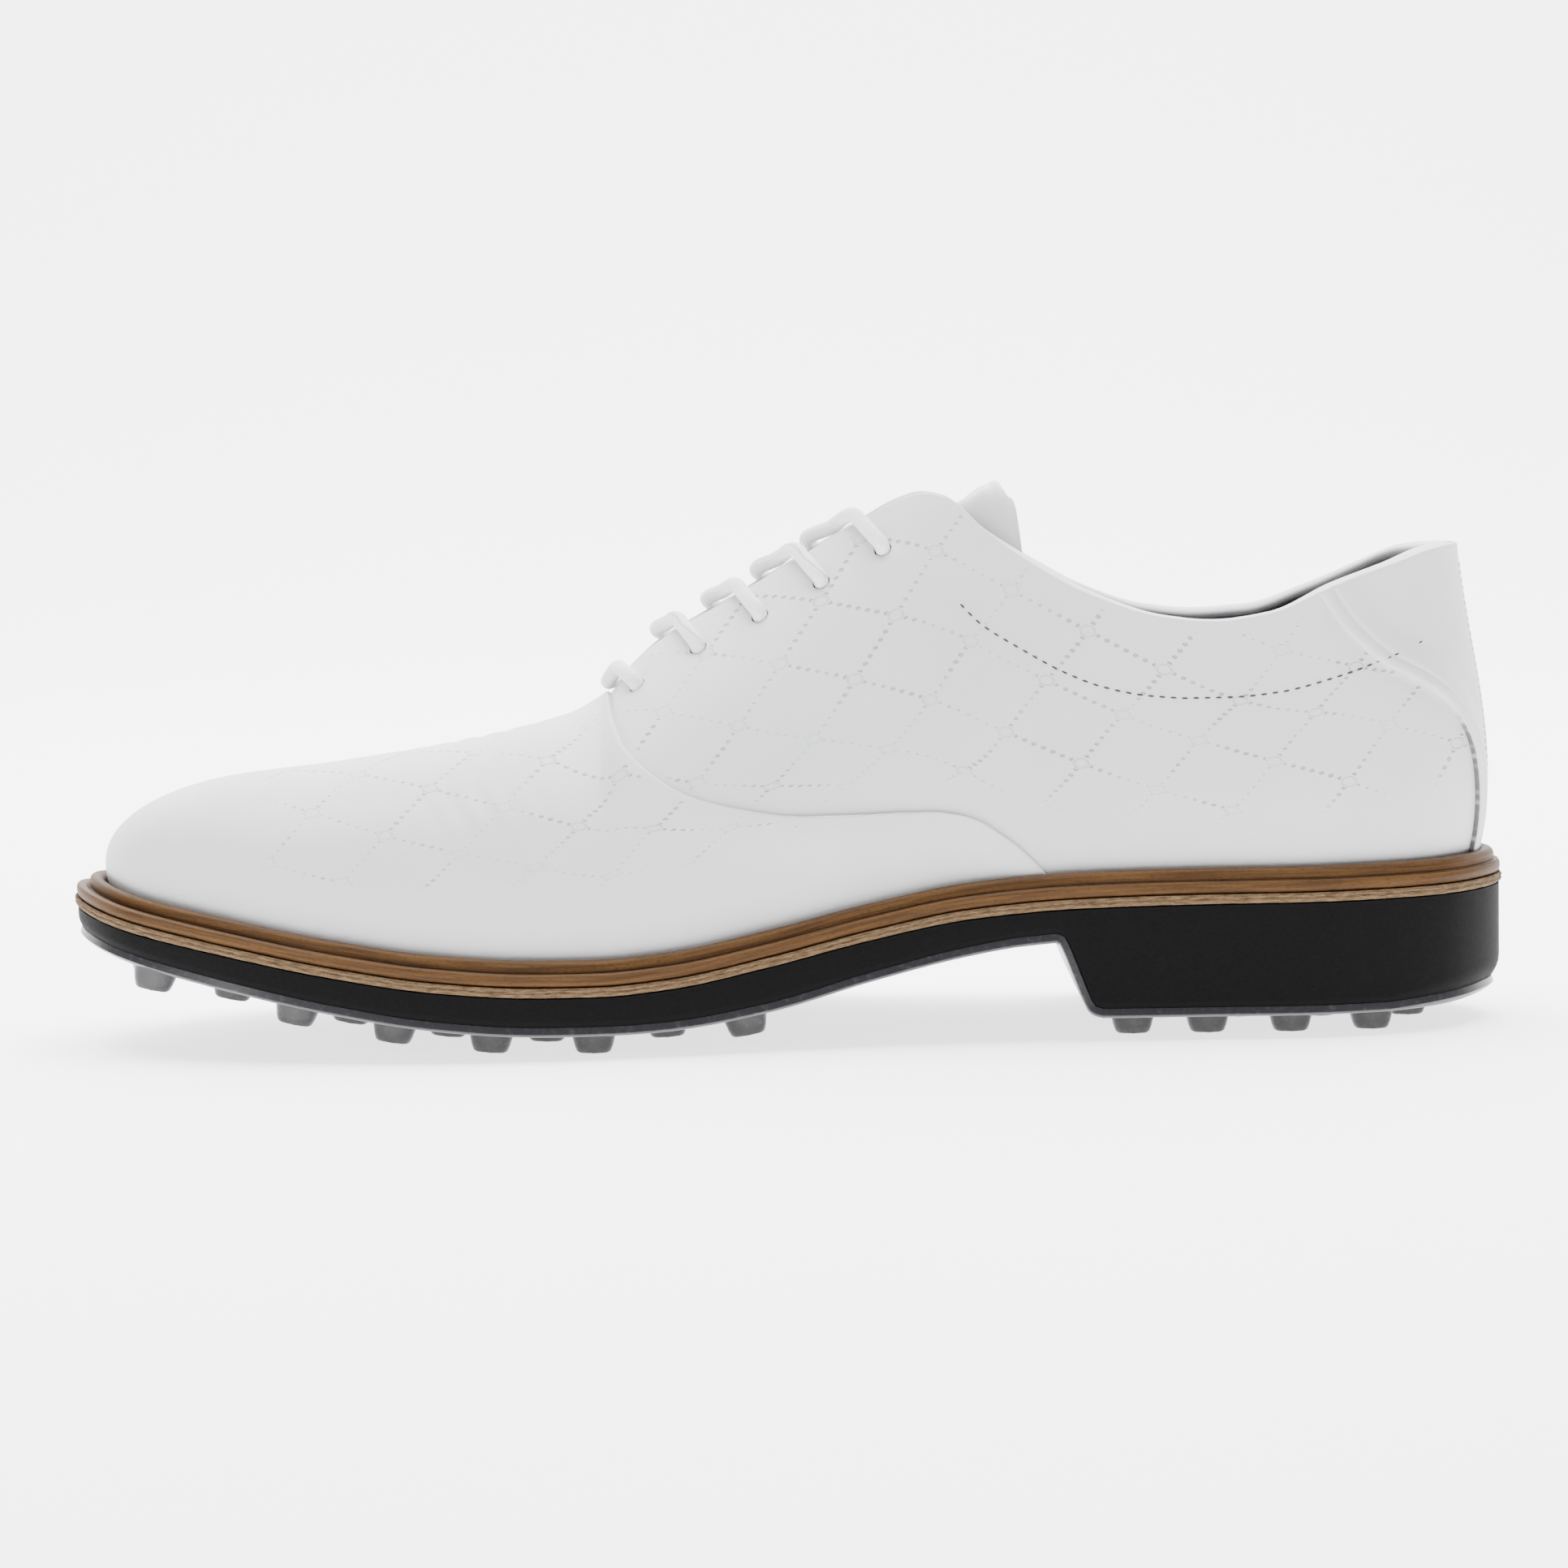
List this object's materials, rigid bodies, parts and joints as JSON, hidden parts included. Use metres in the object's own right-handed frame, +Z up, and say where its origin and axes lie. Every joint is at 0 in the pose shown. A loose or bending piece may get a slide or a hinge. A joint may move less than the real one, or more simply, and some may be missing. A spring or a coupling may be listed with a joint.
{
  "type": "golf shoe",
  "caption": "Spikeless leather golf shoe, right foot: sewn storm welt, black midsole with a heel block, studded outsole, straight-barred lace, padded collar, hinged tongue and footbed.",
  "frame": {"origin": "centre of the footprint, on the ground", "axes": "+X from toe to heel, -Y towards the inner (medial) side, +Z up"},
  "size_m": [0.305, 0.1069, 0.1144],
  "materials": {
    "white_leather": "satin",
    "lining_leather": "matte",
    "black_lining": "matte",
    "stiffener_board": "matte",
    "foam": "matte",
    "footbed_leather": "matte",
    "welt_leather": "satin",
    "runner_board": "matte",
    "insole_board": "matte",
    "cork_filler": "matte",
    "shank_steel": "satin",
    "midsole_foam": "matte",
    "outsole_tpu": "satin",
    "lace_cotton": "matte",
    "aglet_plastic": "gloss"
  },
  "bodies": {
    "shoe": {"outsole": "outsole_tpu", "midsole": "midsole_foam", "welt_runner": "runner_board", "storm_welt": "welt_leather", "insole_board": "insole_board", "shank": "shank_steel", "forefoot_filler": "cork_filler", "heel_filler": "cork_filler", "toe_puff": "stiffener_board", "heel_counter": "stiffener_board", "eyestay_medial": "stiffener_board", "eyestay_lateral": "stiffener_board", "collar_padding": "foam", "vamp": "white_leather", "quarter_medial": "white_leather", "quarter_lateral": "white_leather", "heel_cover": "white_leather", "vamp_lining": "lining_leather", "quarter_lining": "black_lining", "lace": "lace_cotton", "aglet_start": "aglet_plastic", "aglet_end": "aglet_plastic"},
    "tongue": {"tongue_face": "white_leather", "tongue_foam": "foam", "tongue_lining": "black_lining"},
    "footbed": {"footbed_foam": "foam", "footbed_cover": "footbed_leather"}
  },
  "joints": [
    {"name": "tongue_hinge", "type": "hinge", "parent": "shoe", "child": "tongue", "pos_m": [-0.06203, 0, 0.05334], "axis": [0, 1, 0], "range_deg": [0, 4]},
    {"name": "footbed_hinge", "type": "hinge", "parent": "shoe", "child": "footbed", "pos_m": [-0.13865, 0, 0.03386], "axis": [0, -1, 0], "range_deg": [0, 2.5]}
  ]
}
